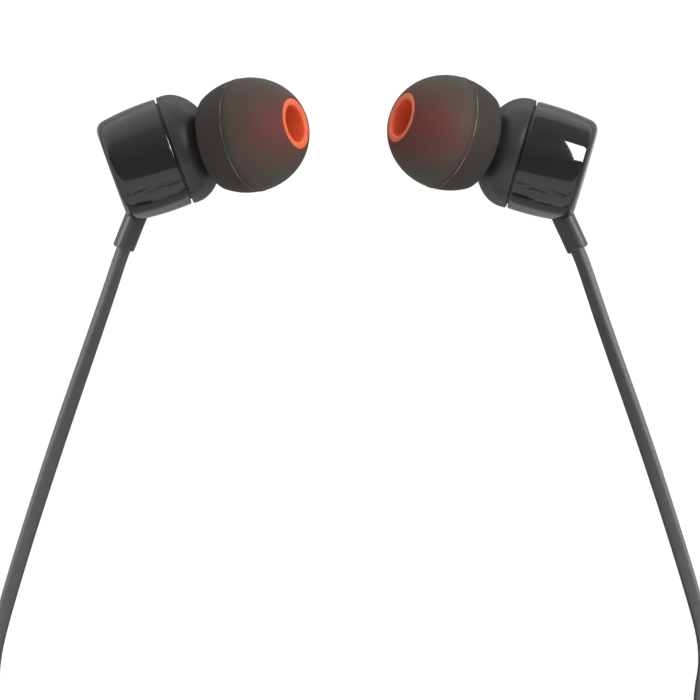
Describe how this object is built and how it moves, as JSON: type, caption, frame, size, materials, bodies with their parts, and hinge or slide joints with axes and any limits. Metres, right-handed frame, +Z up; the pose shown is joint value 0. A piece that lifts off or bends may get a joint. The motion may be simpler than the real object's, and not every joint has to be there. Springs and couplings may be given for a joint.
{
  "type": "wired earphones",
  "caption": "Wired in-ear earphones with soft ear tips on angled nozzles, a flat cord with a one-button remote and microphone, and a stereo plug.",
  "frame": {"origin": "on the table, under the middle of the two buds' bounding box", "axes": "+X to the right bud as seen in the picture, +Y away from the cords, +Z up"},
  "size_m": [0.079, 0.1164, 0.0162],
  "materials": {
    "rear_gloss": "polished black",
    "front_satin": "satin",
    "mesh": "fine sheet",
    "tip_core": "silk, orange",
    "tip_dome": "smoke, translucent",
    "driver_plastic": "moulded",
    "yoke": "plated",
    "magnet": "nickel plated",
    "copper": "enamelled copper wire",
    "film": "thin film",
    "cover": "stamped",
    "board": "solder mask",
    "sleeve": "soft, smooth",
    "cord": "matte jacket",
    "knot": "crimped",
    "tie": "soft strap",
    "remote_case": "fine texture",
    "button": "polished",
    "contact": "gold plated",
    "insulator": "smooth"
  },
  "bodies": {
    "earphones": {"left_rear_shell": "rear_gloss", "left_front_shell": "front_satin", "left_nozzle_mesh": "mesh", "left_driver_frame": "driver_plastic", "left_driver_yoke": "yoke", "left_driver_magnet": "magnet", "left_driver_top_plate": "yoke", "left_driver_cover": "cover", "left_terminal_board": "board", "left_strain_relief": "sleeve", "left_cord_tail": "cord", "left_cord_knot": "knot", "right_rear_shell": "rear_gloss", "right_front_shell": "front_satin", "right_nozzle_mesh": "mesh", "right_driver_frame": "driver_plastic", "right_driver_yoke": "yoke", "right_driver_magnet": "magnet", "right_driver_top_plate": "yoke", "right_driver_cover": "cover", "right_terminal_board": "board", "right_strain_relief": "sleeve", "right_cord_tail": "cord", "right_cord_knot": "knot", "left_cord": "cord", "left_cord_hank": "cord", "left_cord_lead": "cord", "right_cord": "cord", "right_cord_hank": "cord", "right_cord_lead": "cord", "main_cord_lead": "cord", "main_cord_hank": "cord", "main_cord_end": "cord", "left_hank_tie": "tie", "right_hank_tie": "tie", "main_hank_tie": "tie", "splitter": "remote_case", "remote_front_cover": "remote_case", "remote_back_cover": "remote_case", "remote_board": "board", "remote_switch": "mesh", "remote_microphone": "mesh", "plug_relief": "sleeve", "plug_body": "remote_case", "plug_sleeve_contact": "contact", "plug_near_ring": "contact", "plug_far_ring": "contact", "plug_tip_contact": "contact", "plug_insulators": "insulator"},
    "left_ear_tip": {"left_ear_tip_core": "tip_core", "left_ear_tip_dome": "tip_dome"},
    "left_voice_coil_and_diaphragm": {"left_voice_coil": "copper", "left_diaphragm": "film"},
    "right_ear_tip": {"right_ear_tip_core": "tip_core", "right_ear_tip_dome": "tip_dome"},
    "right_voice_coil_and_diaphragm": {"right_voice_coil": "copper", "right_diaphragm": "film"},
    "remote_button": {"remote_button": "button"}
  },
  "joints": [
    {"name": "left_ear_tip_slide", "type": "slide", "parent": "earphones", "child": "left_ear_tip", "axis": [0.8617, 0.2016, 0.4656], "range_m": [0, 0.0042], "deforming": ["left_ear_tip_core"]},
    {"name": "right_ear_tip_slide", "type": "slide", "parent": "earphones", "child": "right_ear_tip", "axis": [-0.8532, 0.2679, 0.4475], "range_m": [0, 0.0042], "deforming": ["right_ear_tip_core"]},
    {"name": "left_voice_coil_travel", "type": "slide", "parent": "earphones", "child": "left_voice_coil_and_diaphragm", "axis": [0.9396, 0.342, -0.0105], "range_m": [-0.00015, 0.00015], "stiffness_N_per_m": 100, "deforming": ["left_diaphragm"]},
    {"name": "right_voice_coil_travel", "type": "slide", "parent": "earphones", "child": "right_voice_coil_and_diaphragm", "axis": [-0.9584, 0.2821, -0.0436], "range_m": [-0.00015, 0.00015], "stiffness_N_per_m": 100, "deforming": ["right_diaphragm"]},
    {"name": "remote_button_press", "type": "slide", "parent": "earphones", "child": "remote_button", "axis": [0, 0, -1], "range_m": [0, 0.00025], "stiffness_N_per_m": 600, "springref_m": -0.0005}
  ]
}
